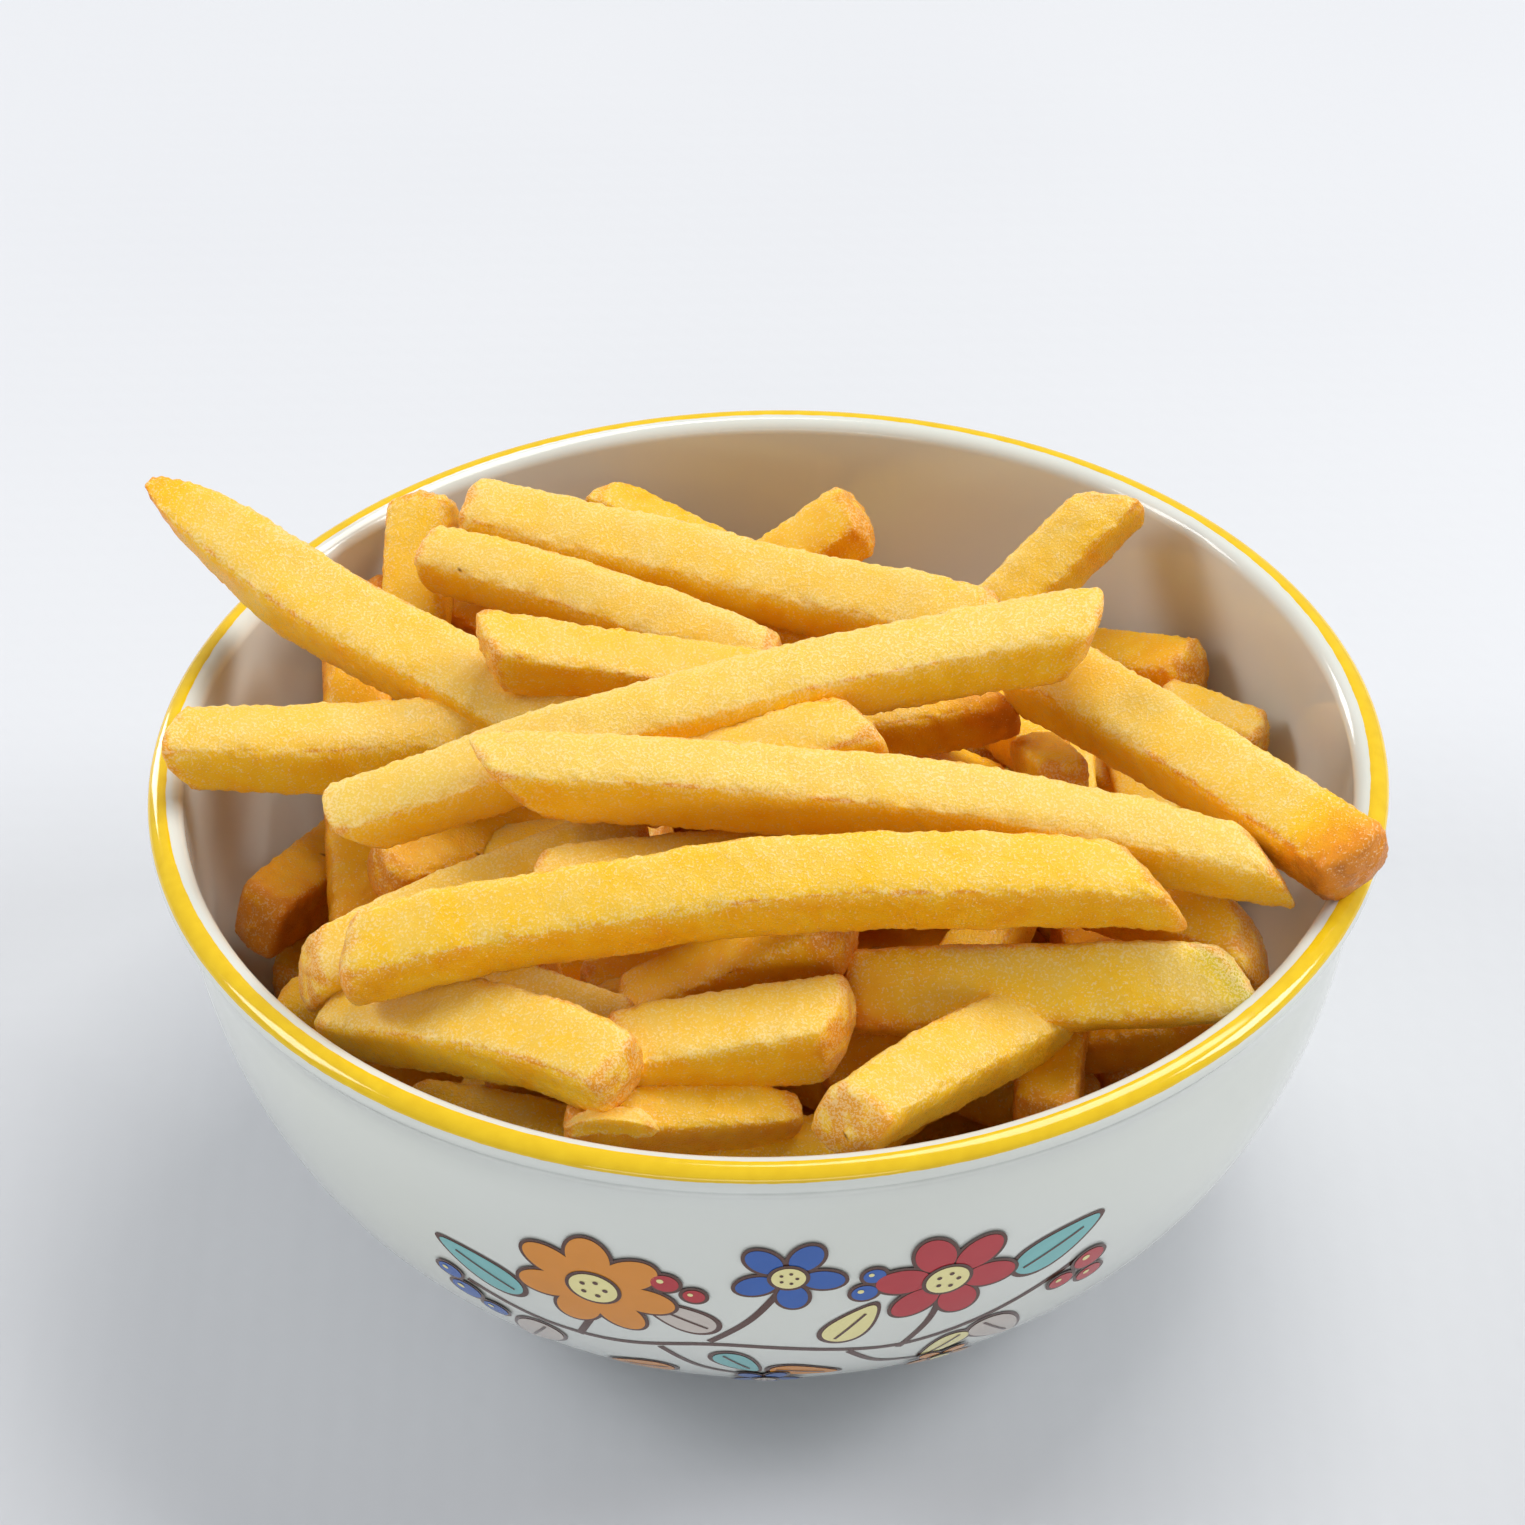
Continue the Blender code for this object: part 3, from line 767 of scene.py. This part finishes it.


# potato, cut in bars and deep fried: pale grainy faces, deeper gold where it took more colour and
# painted shade on faces that look down, amber on its thin edges and cut ends, and a thin film of oil
# that catches light on every grain
def potatoMaterial(finish):
    material, tree, shader = newMaterial("deepFriedPotato")
    where = addNode(tree, "ShaderNodeTexCoord").outputs["Object"]
    crisp, level, toast, speck = (
        addNode(tree, "ShaderNodeAttribute", attribute_name=name).outputs["Fac"]
        for name in ("crisp", "level", "toast", "speck")
    )
    crust = addNode(tree, "ShaderNodeTexNoise", {
        "Vector": where, "Scale": perMetre(finish["crust"]), "Detail": 1.0, "Roughness": 0.7,
    }).outputs["Fac"]
    # painted shade: faces that look down get a deeper gold than those that look up, standing in for the shade that
    # falls on them
    normal = addNode(tree, "ShaderNodeNewGeometry").outputs["Normal"]
    upward = addNode(tree, "ShaderNodeSeparateXYZ", {"Vector": normal}).outputs["Z"]
    paintedUnderShade = addNode(tree, "ShaderNodeMapRange", {
        "Value": upward, "From Min": 0.85, "From Max": -0.1, "To Max": 0.28,
    }, interpolation_type="SMOOTHSTEP")
    # the fry's own tone plus the painted shade of faces that look down
    toneAndPaintedShade = addNode(tree, "ShaderNodeMath", {0: level, 1: paintedUnderShade}, operation="ADD")
    toneAndPaintedShade = addNode(tree, "ShaderNodeMath", {0: toneAndPaintedShade, 1: 0.8}, operation="MULTIPLY")
    ramp = addNode(tree, "ShaderNodeValToRGB", {"Fac": toneAndPaintedShade})
    for i, (position, code) in enumerate(finish["tones"]):
        stop = ramp.color_ramp.elements[i] if i < 2 else ramp.color_ramp.elements.new(position)
        stop.position = position
        stop.color = hexToLinear(code)
    toasted = addNode(tree, "ShaderNodeMapRange", {
        "Value": toast, "From Min": 0.4, "From Max": 1.0, "To Max": 0.7,
    }, interpolation_type="SMOOTHSTEP")
    body = addNode(tree, "ShaderNodeMix", {
        "Factor": toasted, "A": ramp.outputs["Color"], "B": hexToLinear(finish["toast"]),
    }, data_type="RGBA")
    # pale crisp grains, thick on the ragged edges and ends and fine over the faces, fewer on deeper tones and under
    # the painted shade of faces that look down
    grains = addNode(tree, "ShaderNodeMath", {0: crisp, 1: 0.1, 2: crust}, operation="MULTIPLY_ADD")
    grains = addNode(tree, "ShaderNodeMath", {0: toneAndPaintedShade, 1: -0.22, 2: grains}, operation="MULTIPLY_ADD")
    frosted = addNode(tree, "ShaderNodeMapRange", {
        "Value": grains, "From Min": 0.46, "From Max": 0.6, "To Max": 0.4,
    }, interpolation_type="SMOOTHSTEP")
    body = addNode(tree, "ShaderNodeMix", {
        "Factor": frosted, "A": body, "B": hexToLinear(finish["frost"]),
    }, data_type="RGBA")
    body = addNode(tree, "ShaderNodeMix", {
        "Factor": speck, "A": body, "B": hexToLinear(finish["speck"]),
    }, data_type="RGBA")
    tree.links.new(body.outputs["Result"], shader.inputs["Base Color"])
    # the oil lies smooth on the grains and dull between them
    gloss = addNode(tree, "ShaderNodeMapRange", {
        "Value": crust, "From Min": 0.4, "From Max": 0.65, "To Min": 0.5, "To Max": 0.22,
    })
    tree.links.new(gloss.outputs["Result"], shader.inputs["Roughness"])
    bump = addNode(tree, "ShaderNodeBump", {"Height": crust, "Strength": 0.7, "Distance": 0.16 * mm})
    tree.links.new(bump.outputs["Normal"], shader.inputs["Normal"])
    shader.inputs["IOR"].default_value = 1.46
    shader.inputs["Specular IOR Level"].default_value = 0.32
    shader.subsurface_method = "BURLEY"
    shader.inputs["Subsurface Weight"].default_value = 0.7
    shader.inputs["Subsurface Radius"].default_value = (1.0, 0.7, 0.2)
    shader.inputs["Subsurface Scale"].default_value = 2.0 * mm
    return material


heapShape = {
    "top": 54.0,  # mm, height of the middle lines of the hidden heap's top layer, which falls to the wall
    "fall": 14.0,
    "radius": 64.0,
    "coreDrop": 14.0,  # the core's top lies this far under them
    "coreReach": 0.78,  # of the radius
    "underCount": 14,  # the first fries of that layer, lying every way
    "underReach": 50.0,
    "underTurn": 67.0,
    "underLength": 34.0,
    # each further layer's middle lines, in mm under the top, and the least distance between them
    "layers": ((0.5, 6.6), (3.5, 6.6), (8.0, 5.0), (11.0, 5.0), (17.0, 7.6), (25.0, 7.6)),
    "wallFrom": 42.0,  # from here outwards they are shorter and lie along the wall
    "tries": 420,  # for each layer
    "goldenAngle": 137.5,
}


def moundHeight(r, shape=heapShape):
    return shape["top"] - shape["fall"] * (r / shape["radius"]) ** 2


# the rise that lays a fry along the mound's slope
def slopeRise(r, around, turn, shape=heapShape):
    fall = -2 * shape["fall"] * r / shape["radius"] ** 2
    return math.degrees(math.atan(fall * math.cos(math.radians(turn) - around)))


def linePoints(row, count=9):
    x, y, z, turn, rise, _, long = row[:7]
    turn, rise = math.radians(turn), math.radians(rise)
    way = np.array([math.cos(turn) * math.cos(rise), math.sin(turn) * math.cos(rise), math.sin(rise)])
    return np.array([x, y, z]) + np.linspace(-0.5, 0.5, count)[:, None] * long * way


# fills the bowl under the fries that show: each is kept off the wall and off the others
def hiddenRows(shown, shape):
    rng = np.random.default_rng(5)
    rows = []
    for i in range(shape["underCount"]):
        r = shape["underReach"] * math.sqrt((i + 0.5) / shape["underCount"])
        around = math.radians(i * shape["goldenAngle"])
        turn = (i * shape["underTurn"]) % 180 - 90
        rows.append((
            r * math.cos(around), r * math.sin(around), moundHeight(r), turn,
            slopeRise(r, around, turn), 0, shape["underLength"], 8.0, 1, (0.1, 0.1, 0), (0.1, 0.1, 0),
            rng.uniform(0.45, 0.8),
        ))
    placed = np.concatenate([linePoints(row) for row in (*shown, *rows)])
    for drop, spacing in shape["layers"]:
        for i in range(shape["tries"]):
            r = (shape["radius"] - 4) * math.sqrt((i + 0.5) / shape["tries"])
            around = math.radians(i * shape["goldenAngle"] + 31 * drop)
            turn, wide, longest = rng.uniform(-90, 90), rng.uniform(7.2, 8.4), 50
            if r > shape["wallFrom"]:
                turn, longest = (math.degrees(around) + turn / 2) % 180 - 90, 28
            row = (
                r * math.cos(around), r * math.sin(around), moundHeight(r) - drop, turn,
                slopeRise(r, around, turn) + rng.uniform(-6, 6), rng.uniform(-25, 25), rng.uniform(18, longest), wide,
                rng.uniform(-1, 1), (0.1, rng.uniform(-0.4, 0.4), 0), (0.1, 0, rng.uniform(-0.4, 0.4)),
                rng.uniform(0.35, 0.65),
            )
            line = linePoints(row)
            reach = np.hypot(line[:, 0], line[:, 1])
            outside = reach + wide * 0.6 > insideRadius(line[:, 2] - wide / 2)
            if outside.any() or (line[:, 2] > moundHeight(reach) + 1).any() or line[:, 2].min() < 12:
                continue
            if np.linalg.norm(placed[:, None] - line[None], axis=-1).min() < spacing:
                continue
            placed = np.concatenate([placed, line])
            rows.append(row)
    return rows


def makeCore(shape, material):
    profile = []
    for i in range(25):
        r = shape["coreReach"] * shape["radius"] * i / 24
        profile.append((r, moundHeight(r) - shape["coreDrop"], 0.0))
    for i in range(20):
        z = profile[24][1] - (profile[24][1] - 8.0) * (i + 1) / 20
        profile.append((max(float(insideRadius(z)) - 1.5, 0.5), z, 0.0))
    profile.append((0.0, 8.0, 0.0))
    points, faces, zero = turnedMesh(profile, 96)
    points = np.array(points)
    points[:, 2] += 1.5 * grain(points, 8.0) * (points[:, 2] > 15)
    # the core's deep tone is painted shade, so that it reads as the shadowed depth under the fries
    layers = {"crisp": zero, "level": np.full(len(points), 0.8), "toast": zero, "speck": zero}
    core = meshPiece("fryCore", points, faces, material, layers)
    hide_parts("fries")
    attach(core, "root")


potato = potatoMaterial(fryFinish)
index = 0
for groupName, groupRows in fryRows.items():
    makeFries(groupName, groupRows, potato, index, fryShape["ringStep"], fryShape["roundCount"])
    index += len(groupRows)
shownRows = sum(fryRows.values(), ())
buried = hiddenRows(shownRows, heapShape)
makeFries("hiddenFries", buried, potato, index, fryShape["hiddenStep"], fryShape["hiddenCount"])
makeCore(heapShape, potato)
print("fries are laid")
